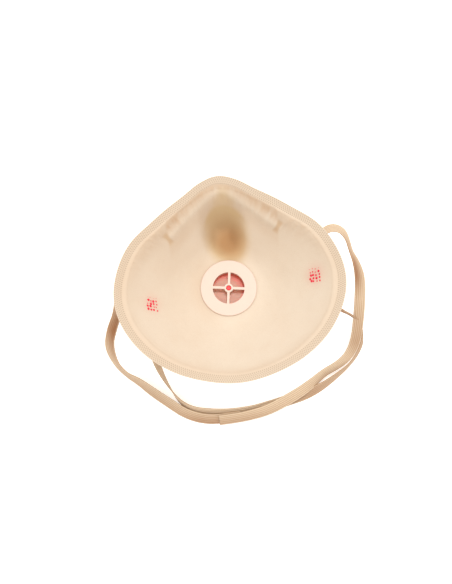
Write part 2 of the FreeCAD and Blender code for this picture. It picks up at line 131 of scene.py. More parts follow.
def smoothStep(share):
    share = np.clip(share, 0, 1)
    return share * share * (3 - 2 * share)


def rising(values, start, over):
    # 0 up to the start, then a soft climb to 1 over that much more
    return smoothStep((values - start) / over)


def bell(values, middle, reach):
    return np.exp(-((values - middle) / reach) ** 2)


# helpers for the materials
def newGroup(name, inputs, outputs):
    group = bpy.data.node_groups.new(name, "ShaderNodeTree")
    for label, kind, value in inputs:
        socket = group.interface.new_socket(label, in_out="INPUT", socket_type=kind)
        socket.default_value = value
    for label, kind in outputs:
        group.interface.new_socket(label, in_out="OUTPUT", socket_type=kind)
    return group, group.nodes.new("NodeGroupInput"), group.nodes.new("NodeGroupOutput")


def math2(tree, kind, a, b, clamp=False):
    node = tree.nodes.new("ShaderNodeMath")
    node.operation, node.use_clamp = kind, clamp
    for slot, value in zip(node.inputs, (a, b)):
        if isinstance(value, (int, float)):
            slot.default_value = value
        else:
            tree.links.new(value, slot)
    return node.outputs[0]


def above(tree, value, start, gain):
    # 0 up to the start, then a straight climb to 1
    return math2(tree, "MULTIPLY", math2(tree, "SUBTRACT", value, start), gain, True)


def noiseNode(tree, vector, scale, detail, rough=0.6):
    node = tree.nodes.new("ShaderNodeTexNoise")
    if isinstance(scale, (int, float)):
        node.inputs["Scale"].default_value = scale
    else:
        tree.links.new(scale, node.inputs["Scale"])
    node.inputs["Detail"].default_value = detail
    node.inputs["Roughness"].default_value = rough
    tree.links.new(vector, node.inputs["Vector"])
    return node.outputs["Fac"]


def makeFibreGroup():
    # matted fibres: fine curls over broad soft clouds
    group, start, end = newGroup(
        "feltFibres",
        [("Vector", "NodeSocketVector", (0, 0, 0)), ("Fibre Scale", "NodeSocketFloat", 1400.0),
         ("Cloud Scale", "NodeSocketFloat", 60.0)],
        [("Height", "NodeSocketFloat"), ("Cloud", "NodeSocketFloat"), ("Fleck", "NodeSocketFloat")])
    vector = start.outputs["Vector"]
    warp = group.nodes.new("ShaderNodeTexNoise")
    warp.inputs["Scale"].default_value = 500.0
    warp.inputs["Detail"].default_value = 3.0
    group.links.new(vector, warp.inputs["Vector"])
    mixed = group.nodes.new("ShaderNodeMix")
    mixed.data_type = "VECTOR"
    mixed.inputs["Factor"].default_value = 0.004
    group.links.new(vector, mixed.inputs[4])
    group.links.new(warp.outputs["Color"], mixed.inputs[5])
    curl = group.nodes.new("ShaderNodeTexVoronoi")
    curl.feature = "SMOOTH_F1"
    curl.inputs["Smoothness"].default_value = 0.6
    group.links.new(start.outputs["Fibre Scale"], curl.inputs["Scale"])
    group.links.new(mixed.outputs[1], curl.inputs["Vector"])
    fine = noiseNode(group, mixed.outputs[1], start.outputs["Fibre Scale"], 4.0, 0.7)
    cloud = noiseNode(group, vector, start.outputs["Cloud Scale"], 5.0, 0.62)
    height = math2(group, "ADD", math2(group, "MULTIPLY", curl.outputs["Distance"], 0.6), fine)
    group.links.new(height, end.inputs["Height"])
    group.links.new(cloud, end.inputs["Cloud"])
    group.links.new(fine, end.inputs["Fleck"])
    return group


fibreGroup = makeFibreGroup()


def startMaterial(name, colour, roughness, specular=0.3):
    material = bpy.data.materials.new(name)
    material.use_nodes = True
    tree = material.node_tree
    shader = tree.nodes["Principled BSDF"]
    shader.inputs["Base Color"].default_value = (*colour, 1)
    shader.inputs["Roughness"].default_value = roughness
    shader.inputs["Specular IOR Level"].default_value = specular
    return material, tree, shader


def objectVector(tree):
    return tree.nodes.new("ShaderNodeTexCoord").outputs["Object"]


def maskNode(tree, name):
    node = tree.nodes.new("ShaderNodeAttribute")
    node.attribute_name = name
    return node.outputs["Fac"]


def mixColour(tree, factor, first, second):
    node = tree.nodes.new("ShaderNodeMix")
    node.data_type = "RGBA"
    for slot, value in ((node.inputs[0], factor), (node.inputs[6], first), (node.inputs[7], second)):
        if isinstance(value, tuple):
            slot.default_value = (*value, 1)
        elif isinstance(value, (int, float)):
            slot.default_value = value
        else:
            tree.links.new(value, slot)
    return node.outputs[2]


def addBump(tree, shader, height, strength, distance):
    bump = tree.nodes.new("ShaderNodeBump")
    bump.inputs["Strength"].default_value = strength
    bump.inputs["Distance"].default_value = distance
    tree.links.new(height, bump.inputs["Height"])
    tree.links.new(bump.outputs["Normal"], shader.inputs["Normal"])


def fibreNode(tree, fibreScale, cloudScale):
    node = tree.nodes.new("ShaderNodeGroup")
    node.node_tree = fibreGroup
    node.inputs["Fibre Scale"].default_value = fibreScale
    node.inputs["Cloud Scale"].default_value = cloudScale
    tree.links.new(objectVector(tree), node.inputs["Vector"])
    return node


# felt cup: three layers made from the two faces of the CAD cup
felt = {
    "angles": 1440, "thin": 3, "wallRings": 66, "edgeRings": 33, "edgeShare": 0.86,
    "holeRadius": 12.15 * mm,
    "wallThin": 5, "edgeThin": 6, "smoothAround": 30, "smoothAcross": 2,
    "edgeSearch": (45 * mm, 85 * mm), "edgeSteps": 16, "edgeInset": 0.02 * mm,
    "liningShare": 0.36, "webShare": (0.38, 0.58), "shellShare": 0.60,
    "edgeRound": 0.14 * mm, "edgeReach": 0.35 * mm,
    "weldPitch": 1.40 * mm, "weldRows": 4, "weldRowPitch": 1.20 * mm, "weldFirstRow": 1.0 * mm,
    "weldDepth": 0.22 * mm, "weldSize": (0.30 * mm, 0.46 * mm),
    "waveHeight": 0.28 * mm, "waveScale": 45, "waveAtEdge": 0.3,
    "creaseHeight": 0.30 * mm, "creaseScale": 380, "creaseStretch": 0.45, "creaseBelow": 0.25,
    # the darker colours for the nose pocket, its core and the strip ends are painted shade; the shade colour
    # also gives the felt's own mottle; the blush, dot and rim colours are the felt's own
    "colour": (0.69, 0.612, 0.518), "shadeColour": (0.56, 0.41, 0.285), "noseShadeColour": (0.59, 0.45, 0.27),
    "deepColour": (0.47, 0.285, 0.145), "blushColour": (0.66, 0.30, 0.25), "dotColour": (0.30, 0.22, 0.15),
    "rimColour": (0.585, 0.475, 0.365), "webColour": (0.76, 0.73, 0.68),
    "sheen": 0.06, "sheenRoughness": 0.5, "fibreScale": 1500.0, "cloudScale": 55.0, "bumpDepth": 0.25 * mm,
    "cloudFrom": 0.42, "cloudGain": 1.6, "cloudShare": 0.25, "fleckFrom": 0.52, "fleckGain": 1.5,
    "pocketMiddle": (2.4 * mm, 32.6 * mm), "pocketHalf": (14.4 * mm, 19.2 * mm), "pocketLean": 12.0,
    "coreMiddle": (3.8 * mm, 31.0 * mm), "coreHalf": (13.0 * mm, 17.0 * mm), "coreLean": 25.0,
    "lobeMiddle": (2.4 * mm, 51.0 * mm), "lobeHalf": (10.0 * mm, 6.5 * mm),
    "tipX": 2.3 * mm, "tipHalf": (6.5 * mm, 4.5 * mm),
    "ridgePeak": 56.6 * mm, "ridgeLean": 0.90, "ridgeRound": 7.0 * mm, "ridgeSpan": 35.0 * mm,
    "ridgeHeight": 0.40 * mm, "ridgeHalf": 1.5 * mm, "hollowDepth": 0.45 * mm,
    "hollowOff": 4.3 * mm, "hollowHalf": 2.2 * mm, "underOff": -4.5 * mm, "underHalf": 3.0 * mm,
    "barHalf": 1.35 * mm, "barFlare": 1.0 * mm, "barReach": 3.0 * mm, "barDepth": 0.30 * mm,
    "rimReach": 9.0 * mm, "cornerOff": 6.0 * mm, "cornerReach": 3.0 * mm,
    "valveEdge": 20 * mm, "valveReach": 6 * mm, "blushHalf": (4.2 * mm, 5.4 * mm),
}

# where each mark of the face begins, and over how much more it grows
grows = {
    "calm": (19 * mm, 8 * mm), "wall": (6 * mm, 4 * mm), "upper": (-0.05, 0.5),
    "creaseIn": (5 * mm, 2 * mm), "creaseOut": (10 * mm, 6 * mm),
    "stripEnd": (-1 * mm, 2 * mm), "stripWall": (4.2 * mm, 2 * mm),
    "shadeTop": (-25 * mm, 60 * mm), "shadeLeft": (0, 45 * mm),
    "pocketTop": (37 * mm, 9 * mm), "crisp": (0.92, 0.14), "soft": (0.60, 0.62),
    "core": (0.25, 0.85), "lobe": (0.3, 0.7),
}

# how much each mark of the face adds to its tint: rim, dots, outer dots and blush are the felt's own colour,
# the others are painted shade, and the ridge takes painted shade away as a painted highlight
tints = {
    "rim": 0.55, "rimLessAbove": 0.2, "corner": 0.22, "cornerLessAbove": 0.4,
    "shadeTop": 0.14, "shadeLeft": 0.12,
    "crease": 0.20, "hollow": 0.42, "under": 0.20, "shadowBesideValve": 0.30, "ridge": 0.15,
    "blotch": (0.75, 0.6), "dots": 0.85, "outerDots": 0.7, "barShade": 0.35, "barDeep": 0.40,
    "pocket": 0.9, "core": 1.3, "lobe": 0.6, "tip": 0.45, "blush": {"left": 0.38, "right": 0.55},
}
rayTop, rayBottom = 0.2, -0.1


def treeOf(mesh):
    return BVHTree.FromPolygons([v.co for v in mesh.vertices], [p.vertices for p in mesh.polygons])


def heightBelow(tree, x, y):
    hit = tree.ray_cast(Vector((x, y, rayTop)), Vector((0, 0, -1)))[0]
    return None if hit is None else hit.z


def heightAbove(tree, x, y):
    hit = tree.ray_cast(Vector((x, y, rayBottom)), Vector((0, 0, 1)))[0]
    return None if hit is None else hit.z


def edgeRadii(tree, look, f):
    # halving search for the outermost place in each direction where the cup is still met
    radii = []
    for i in range(f["angles"]):
        angle = 2 * math.pi * i / f["angles"]
        low, high = f["edgeSearch"]
        for _ in range(f["edgeSteps"]):
            middle = (low + high) / 2
            if look(tree, middle * math.cos(angle), middle * math.sin(angle)) is None:
                high = middle
            else:
                low = middle
        radii.append(low - f["edgeInset"])
    return np.array(radii)


def readFace(node, look, edge, shares, f):
    # one face of the CAD cup read on a polar grid, then smoothed a little so that no facets show
    tree = treeOf(nodes[node].data)
    turn = 2 * np.pi * np.arange(f["angles"]) / f["angles"]
    radius = f["holeRadius"] + (edge[:, None] - f["holeRadius"]) * shares[None, :]
    x, y = radius * np.cos(turn)[:, None], radius * np.sin(turn)[:, None]
    z = np.empty_like(x)
    for i in range(z.shape[0]):
        last = 0.0
        for j in range(z.shape[1]):
            found = look(tree, x[i, j], y[i, j])
            last = last if found is None else found
            z[i, j] = last
    for _ in range(f["smoothAround"]):
        z = (np.roll(z, 1, 0) + 2 * z + np.roll(z, -1, 0)) / 4
    for _ in range(f["smoothAcross"]):
        z[:, 1:-1] = (z[:, :-2] + 2 * z[:, 1:-1] + z[:, 2:]) / 4
    return np.stack([x, y, z], -1)


def readCup(f):
    inner, outer = treeOf(nodes["face_lining"].data), treeOf(nodes["outer_shell"].data)
    edge = np.minimum(edgeRadii(inner, heightBelow, f), edgeRadii(outer, heightAbove, f))
    edge = (np.roll(edge, 1) + 2 * edge + np.roll(edge, -1)) / 4
    # few rings over the wall, many over the welded edge
    wall = np.linspace(0, f["edgeShare"], f["wallRings"], endpoint=False)
    shares = np.concatenate([wall, np.linspace(f["edgeShare"], 1, f["edgeRings"])])
    inside = readFace("face_lining", heightBelow, edge, shares, f)
    outside = readFace("outer_shell", heightAbove, edge, shares, f)
    rim = np.roll(inside[:, -1, :2], -1, 0) - inside[:, -1, :2]
    step = np.linalg.norm(rim, axis=1)
    along = np.concatenate([[0], np.cumsum(step)[:-1]])
    fromEdge = edge[:, None] - np.hypot(inside[..., 0], inside[..., 1])
    return {"inside": inside, "outside": outside, "along": along, "whole": step.sum(), "fromEdge": fromEdge}


def layerOf(cup, share):
    return cup["inside"] * (1 - share) + cup["outside"] * share


def gridNormals(grid):
    around = np.roll(grid, -1, 0) - np.roll(grid, 1, 0)
    across = np.gradient(grid, axis=1)
    normal = np.cross(across, around)
    normal /= np.linalg.norm(normal, axis=2, keepdims=True)
    return normal * np.sign(normal[..., 2:3])


def weldDots(cup, f):
    # rows of small dents that the welding tool leaves round the edge, 1 in the middle of a dent
    count = round(cup["whole"] / f["weldPitch"])
    phase = cup["along"][:, None] / cup["whole"] * count
    dents = np.zeros_like(cup["fromEdge"])
    for row in range(f["weldRows"]):
        shifted = phase + 0.5 * (row % 2)
        side = (shifted - np.round(shifted)) * f["weldPitch"]
        off = cup["fromEdge"] - f["weldFirstRow"] - row * f["weldRowPitch"]
        dents += np.exp(-(side / f["weldSize"][0]) ** 2 - (off / f["weldSize"][1]) ** 2)
    return dents


def noiseGrid(grid, scale, seed, octaves=3):
    offset = Vector((seed * 7.3, seed * 3.1, seed * 1.7))
    values = [noise.fractal(Vector(p) * scale + offset, 0.9, 2.0, octaves) for p in grid.reshape(-1, 3)]
    return np.array(values).reshape(grid.shape[:2])


def cupMesh(fine, coarse, f, flip):
    # the fine face has more points round the welded edge than round the wall
    # and the coarse face closes the layer
    angles, rings, wall, thin = *fine.shape[:2], f["wallRings"], f["thin"]
    kept = np.ones((angles, rings), bool)
    kept[:, :wall] = (np.arange(angles) % thin == 0)[:, None]
    index = np.full((angles, rings), -1)
    index[kept] = np.arange(kept.sum())
    low = kept.sum() + np.arange(coarse.shape[0] * coarse.shape[1]).reshape(coarse.shape[:2])
    faces = []
    for i in range(0, angles, thin):
        n = (i + thin) % angles
        a, b = low[i // thin], low[n // thin]
        for j in range(wall - 1):
            faces.append((index[i, j], index[i, j + 1], index[n, j + 1], index[n, j]))
        columns = [(i + k) % angles for k in range(thin + 1)]
        faces.append((index[i, wall - 1], *[index[c, wall] for c in columns], index[n, wall - 1]))
        for c, d in zip(columns, columns[1:]):
            for j in range(wall, rings - 1):
                faces.append((index[c, j], index[c, j + 1], index[d, j + 1], index[d, j]))
        faces.append((a[-1], b[-1], *[index[c, -1] for c in reversed(columns)]))
        faces.append((index[i, 0], index[n, 0], b[0], a[0]))
        for j in range(len(a) - 1):
            faces.append((a[j], b[j], b[j + 1], a[j + 1]))
    faces = [tuple(int(k) for k in (reversed(face) if flip else face)) for face in faces]
    return np.concatenate([fine[kept], coarse.reshape(-1, 3)]), faces, kept


def thinned(grid, f):
    wall, rings = f["wallRings"], grid.shape[1]
    picks = [*range(0, wall, f["wallThin"]), *range(wall, rings - 1, f["edgeThin"]), rings - 1]
    return grid[::f["thin"], picks]


def addLayer(name, node, fine, coarse, masks, f, material, flip=False):
    verts, faces, kept = cupMesh(fine, coarse, f, flip)
    piece = addPiece(name, verts, faces, material)
    pad = np.zeros(coarse.shape[0] * coarse.shape[1])
    for mask in ("rim", "shade", "noseShade", "deep", "blush", "dots"):
        values = np.clip(masks[mask][kept], 0, 1) if mask in masks else np.zeros(kept.sum())
        setMask(piece, mask, np.concatenate([values, pad]))
    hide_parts(node)
    return piece


def feltMaterial(f, name, fibreBump):
    material, tree, shader = startMaterial(name, f["colour"], 0.9, 0.15)
    shader.inputs["Sheen Weight"].default_value = f["sheen"]
    shader.inputs["Sheen Roughness"].default_value = f["sheenRoughness"]
    fibres = fibreNode(tree, f["fibreScale"], f["cloudScale"])
    # the felt's own mottle, mixed toward the same darker colour that the painted shade uses
    cloud = above(tree, fibres.outputs["Cloud"], f["cloudFrom"], f["cloudGain"])
    cloud = math2(tree, "MULTIPLY", cloud, f["cloudShare"])
    colour = mixColour(tree, cloud, f["colour"], f["shadeColour"])
    fleck = above(tree, fibres.outputs["Fleck"], f["fleckFrom"], f["fleckGain"])
    colour = mixColour(tree, fleck, colour, f["shadeColour"])
    # of these layers, shade and the two nose layers are painted shade; rim, dots and blush are the felt's
    # own colour
    layers = (("rim", f["rimColour"]), ("shade", f["shadeColour"]), ("noseShade", f["noseShadeColour"]),
              ("deep", f["deepColour"]), ("dots", f["dotColour"]), ("blush", f["blushColour"]))
    for mask, tint in layers:
        colour = mixColour(tree, maskNode(tree, mask), colour, tint)
    tree.links.new(colour, shader.inputs["Base Color"])
    addBump(tree, shader, fibres.outputs["Height"], fibreBump, f["bumpDepth"])
    return material


def ridgeGap(grid, f):
    # how far each place is from the line of the nose strip, above 0 on its outer side
    x, y = grid[..., 0], grid[..., 1]
    arm = np.hypot(x, f["ridgeRound"])
    slope = -f["ridgeLean"] * x / arm
    return (y - f["ridgePeak"] + f["ridgeLean"] * (arm - f["ridgeRound"])) / np.hypot(1, slope)


def stripEnds(f):
    # the two ends of the nose strip, each with the strip's direction there
    arm = math.hypot(f["ridgeSpan"], f["ridgeRound"])
    y = f["ridgePeak"] - f["ridgeLean"] * (arm - f["ridgeRound"])
    way = np.array([1.0, -f["ridgeLean"] * f["ridgeSpan"] / arm])
    way /= np.linalg.norm(way)
    return [(np.array([side * f["ridgeSpan"], y]), way * (side, 1)) for side in (-1, 1)]


def ovalGap(grid, middle, half, lean):
    # 0 in the middle of a leaning oval and 1 on its edge
    turn = math.radians(lean)
    x, y = grid[..., 0] - middle[0], grid[..., 1] - middle[1]
    return np.hypot((x * math.cos(turn) + y * math.sin(turn)) / half[0],
                    (-x * math.sin(turn) + y * math.cos(turn)) / half[1])


def spotCentre(side):
    low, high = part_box(f"weld_spots_{side}")
    return (np.array(low) + np.array(high)) / 2


def pocketMasks(top, f, t):
    # painted shade in the oval over the bridge of the nose: a crisp upper edge, soft sides and a browner
    # core, with a lobe above it and a spot at the strip's tip
    pocket = ovalGap(top, f["pocketMiddle"], f["pocketHalf"], f["pocketLean"])
    upperEnd = rising(top[..., 1], *grows["pocketTop"])
    crisp = 1 - rising(pocket, *grows["crisp"])
    soft = 1 - rising(pocket, *grows["soft"])
    noseShade = crisp * upperEnd + soft * (1 - upperEnd)
    core = ovalGap(top, f["coreMiddle"], f["coreHalf"], f["coreLean"])
    deep = (1 - rising(core, *grows["core"])) * np.clip(t["core"] * noseShade, 0, 1)
    tip = ovalGap(top, (f["tipX"], f["ridgePeak"]), f["tipHalf"], 0)
    lobe = ovalGap(top, f["lobeMiddle"], f["lobeHalf"], 0)
    noseShade = np.maximum(t["pocket"] * noseShade, t["lobe"] * (1 - rising(lobe, *grows["lobe"])))
    return noseShade + t["tip"] * (1 - smoothStep(tip)), deep


def stripBars(top, f):
    # the dent at each end of the nose strip
    for tip, way in stripEnds(f):
        gapX, gapY = top[..., 0] - tip[0], top[..., 1] - tip[1]
        lengthwise = gapX * way[0] + gapY * way[1]
        sideways = -gapX * way[1] + gapY * way[0]
        narrow = f["barHalf"] + f["barFlare"] * (sideways / f["barReach"]) ** 2
        yield np.exp(-(lengthwise / narrow) ** 4) * np.exp(-(sideways / f["barReach"]) ** 6)


def faceMarks(top, cup, f):
    # where the face has its waves, its creases, and the ridge and hollow that the nose strip leaves
    x, y, fromEdge = top[..., 0], top[..., 1], cup["fromEdge"]
    radius = np.hypot(x, y)
    alongEdge = np.broadcast_to(cup["along"][:, None], radius.shape)
    folded = np.stack([alongEdge, fromEdge * f["creaseStretch"], 0 * radius], -1)
    gap = ridgeGap(top, f)
    ends = 1 - rising(np.abs(x) - f["ridgeSpan"], *grows["stripEnd"])
    inWall = rising(fromEdge, *grows["stripWall"])
    calm = rising(radius, *grows["calm"])
    onWall = rising(fromEdge, *grows["wall"])
    return {
        "radius": radius, "dots": weldDots(cup, f),
        "wave": noiseGrid(top, f["waveScale"], 1), "calm": calm, "onWall": onWall,
        "upper": rising(y / radius, *grows["upper"]), "creases": noiseGrid(folded, f["creaseScale"], 2),
        "crease": rising(fromEdge, *grows["creaseIn"]) * (1 - rising(fromEdge, *grows["creaseOut"])),
        "ridge": bell(gap, 0, f["ridgeHalf"]) * ends * inWall,
        "hollow": bell(gap, f["hollowOff"], f["hollowHalf"]) * ends * inWall,
        "under": bell(gap, f["underOff"], f["underHalf"]) * ends,
    }


def faceRelief(m, cup, bars, f):
    out = -f["weldDepth"] * m["dots"] - f["edgeRound"] * np.exp(-cup["fromEdge"] / f["edgeReach"])
    waveShare = f["waveAtEdge"] + (1 - f["waveAtEdge"]) * m["onWall"]
    out += f["waveHeight"] * m["wave"] * m["calm"] * waveShare
    creaseShare = f["creaseBelow"] + (1 - f["creaseBelow"]) * m["upper"]
    out += f["creaseHeight"] * m["creases"] * m["crease"] * creaseShare
    out += f["ridgeHeight"] * m["ridge"] - f["hollowDepth"] * m["hollow"]
    for bar in bars:
        out -= f["barDepth"] * bar
    return out


def faceMasks(top, m, cup, bars, f, t):
    x, y, fromEdge, upper = top[..., 0], top[..., 1], cup["fromEdge"], m["upper"]
    noseShade, deep = pocketMasks(top, f, t)
    # painted shade in the dent at each end of the nose strip
    for bar in bars:
        noseShade += t["barShade"] * bar
        deep += t["barDeep"] * bar
    blush = np.zeros_like(noseShade)
    for side, share in t["blush"].items():
        c = spotCentre(side)
        away = np.hypot((x - c[0]) / f["blushHalf"][0], (y - c[1]) / f["blushHalf"][1])
        blush += share * np.exp(-away ** 2)
    rim = (t["rim"] - t["rimLessAbove"] * upper) * bell(fromEdge, 0, f["rimReach"])
    blotch = t["blotch"][0] + t["blotch"][1] * m["creases"]
    # painted shade: darker towards the nose end and the left, where the walls get less light
    topLeftShade = t["shadeTop"] * rising(y, *grows["shadeTop"]) + t["shadeLeft"] * rising(-x, *grows["shadeLeft"])
    # painted shadow beside the valve on its left
    shadowBesideValve = bell(m["radius"], f["valveEdge"], f["valveReach"]) * smoothStep(-x / m["radius"])
    # painted shade in a band a little inside the welded edge, with less of it above
    corner = t["corner"] * bell(fromEdge, f["cornerOff"], f["cornerReach"])
    corner = corner * (1 - t["cornerLessAbove"] * upper)
    # painted shade in the creased band near the upper edge and in the hollow outside the nose strip, patchy
    # with the creases
    folds = (t["crease"] * m["crease"] * upper + t["hollow"] * m["hollow"]) * blotch
    # every part of the shade mask is painted shade; the under part is a painted shadow just inside the nose
    # strip's ridge
    shade = topLeftShade + corner + folds + t["under"] * m["under"] + t["shadowBesideValve"] * shadowBesideValve
    # painted highlight: the shade is taken away along the nose strip's ridge
    return {"rim": rim, "shade": shade - t["ridge"] * m["ridge"], "noseShade": noseShade, "deep": deep,
            "blush": blush, "dots": t["dots"] * m["dots"]}


def makeFaceFelt(cup, f, t, material):
    top = layerOf(cup, 0)
    marks, bars = faceMarks(top, cup, f), list(stripBars(top, f))
    fine = top + gridNormals(top) * faceRelief(marks, cup, bars, f)[..., None]
    coarse = thinned(layerOf(cup, f["liningShare"]), f)
    masks = faceMasks(top, marks, cup, bars, f, t)
    return addLayer("faceFelt", "face_lining", fine, coarse, masks, f, material)


def makeFilterWeb(cup, f, material):
    upper, lower = (layerOf(cup, share) for share in f["webShare"])
    addLayer("filterWeb", "filter_web", upper, thinned(lower, f), {}, f, material)


def makeOuterFelt(cup, f, t, material):
    outer = layerOf(cup, 1)
    dots = weldDots(cup, f)
    inward = f["weldDepth"] * dots + f["edgeRound"] * np.exp(-cup["fromEdge"] / f["edgeReach"])
    fine = outer + gridNormals(outer) * inward[..., None]
    coarse = thinned(layerOf(cup, f["shellShare"]), f)
    masks = {"rim": t["rim"] * bell(cup["fromEdge"], 0, f["rimReach"]), "dots": t["outerDots"] * dots}
    addLayer("outerFelt", "outer_shell", fine, coarse, masks, f, material, flip=True)


cup = readCup(felt)
faceFelt = makeFaceFelt(cup, felt, tints, feltMaterial(felt, "faceFelt", 0.35))
makeFilterWeb(cup, felt, feltMaterial({**felt, "colour": felt["webColour"]}, "filterWeb", 0.2))
makeOuterFelt(cup, felt, tints, feltMaterial(felt, "outerFelt", 0.25))
print("felt cup ready")


# weld spots
weldSpots = {
    "rows": 5, "columns": 4, "rowPitch": 1.95 * mm, "columnPitch": 1.65 * mm, "radius": 1.22 * mm,
    "height": 0.18 * mm, "sunk": 0.12 * mm, "around": 14, "rings": 4, "uneven": 0.35, "flat": 0.18,
    "jitter": (0.35, 0.3), "strength": (0.5, 1.2), "lastRow": 0.45, "slant": 0.15,
    "colour": (0.70, 0.012, 0.05), "roughness": 0.4,
}


def plasticMaterial(name, p, grain=0.08):
    material, tree, shader = startMaterial(name, p["colour"], p["roughness"], 0.45)
    vector = objectVector(tree)
    cloud = noiseNode(tree, vector, 140.0, 4.0)
    darker = tuple(c * 0.90 for c in p["colour"])
    colour = mixColour(tree, math2(tree, "MULTIPLY", cloud, 0.5), p["colour"], darker)
    tree.links.new(colour, shader.inputs["Base Color"])
    addBump(tree, shader, noiseNode(tree, vector, 2600.0, 3.0), grain, 0.05 * mm)
    return material, tree, shader


def addBlob(verts, faces, place, normal, radius, w, seed):
    # a low uneven dome of plastic on the felt
    side = normal.cross(Vector((0, 1, 0))).normalized()
    ahead = side.cross(normal)
    around, rings, height = w["around"], w["rings"], w["height"]
    start = len(verts)
    verts.append(place + normal * height)
    for ring in range(1, rings + 1):
        share = ring / rings
        for k in range(around):
            turn = 2 * math.pi * k / around
            uneven = 1 + w["uneven"] * noise.noise(Vector((math.cos(turn), math.sin(turn), seed * 3.7)))
            reach = radius * share * uneven * (1 - w["flat"] * abs(math.sin(turn)))
            rise = height * math.cos(share * math.pi / 2) - w["sunk"] * share ** 4
            verts.append(
                place + side * reach * math.cos(turn) + ahead * reach * math.sin(turn) + normal * rise)
    for k in range(around):
        n = (k + 1) % around
        faces.append((start, start + 1 + k, start + 1 + n))
        for ring in range(rings - 1):
            a, b = start + 1 + ring * around, start + 1 + (ring + 1) * around
            faces.append((a + k, b + k, b + n, a + n))
    last = start + 1 + (rings - 1) * around
    faces.append(tuple(last + k for k in reversed(range(around))))


def makeWeldSpots(side, w, material, seed):
    draw = random.Random(seed)
    tree = treeOf(faceFelt.data)
    slipX, slipY = w["jitter"]
    centre = spotCentre(side)
    verts, faces = [], []
    for row in range(w["rows"]):
        for column in range(w["columns"]):
            across = (column - (w["columns"] - 1) / 2) * w["columnPitch"] + draw.uniform(-slipX, slipX) * mm
            ahead = (row - (w["rows"] - 1) / 2) * w["rowPitch"] + draw.uniform(-slipY, slipY) * mm
            strength = draw.uniform(*w["strength"]) * (w["lastRow"] if row == w["rows"] - 1 else 1)
            x, y = centre[0] + across, centre[1] + ahead - across * w["slant"]
            hit, normal = tree.ray_cast(Vector((x, y, rayTop)), Vector((0, 0, -1)))[:2]
            if normal.z < 0:
                normal = -normal
            addBlob(verts, faces, hit, normal, w["radius"] * strength, w, seed + row * 7 + column)
    piece = addPiece(f"weldSpots{side.capitalize()}", verts, faces, material)
    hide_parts(f"weld_spots_{side}")


spotMaterial = plasticMaterial("weldSpotPlastic", weldSpots)[0]
makeWeldSpots("left", weldSpots, spotMaterial, 11)
makeWeldSpots("right", weldSpots, spotMaterial, 23)
print("weld spots ready")


# elastic band
band = {
    "width": 7.2 * mm, "thickness": 0.9 * mm, "ribs": 6, "ribDepth": 0.15 * mm, "step": 0.5 * mm,
    "acrossSteps": 42, "edgeShare": 0.10, "edgeLeast": 0.06, "smoothings": 30,
    "weaveRise": 0.05, "weavePitch": 0.75 * mm, "shadeLessAtEdges": 0.6,
    "colour": (0.635, 0.52, 0.39), "grooveColour": (0.38, 0.225, 0.105), "bandShadeColour": (0.215, 0.068, 0.010),
    "sheen": 0.05, "fibreScale": 2200.0, "cloudScale": 90.0, "bumpDepth": 0.15 * mm,
    "grooveShare": 0.9, "fleckFrom": 0.5, "fleckGain": 1.2,
}
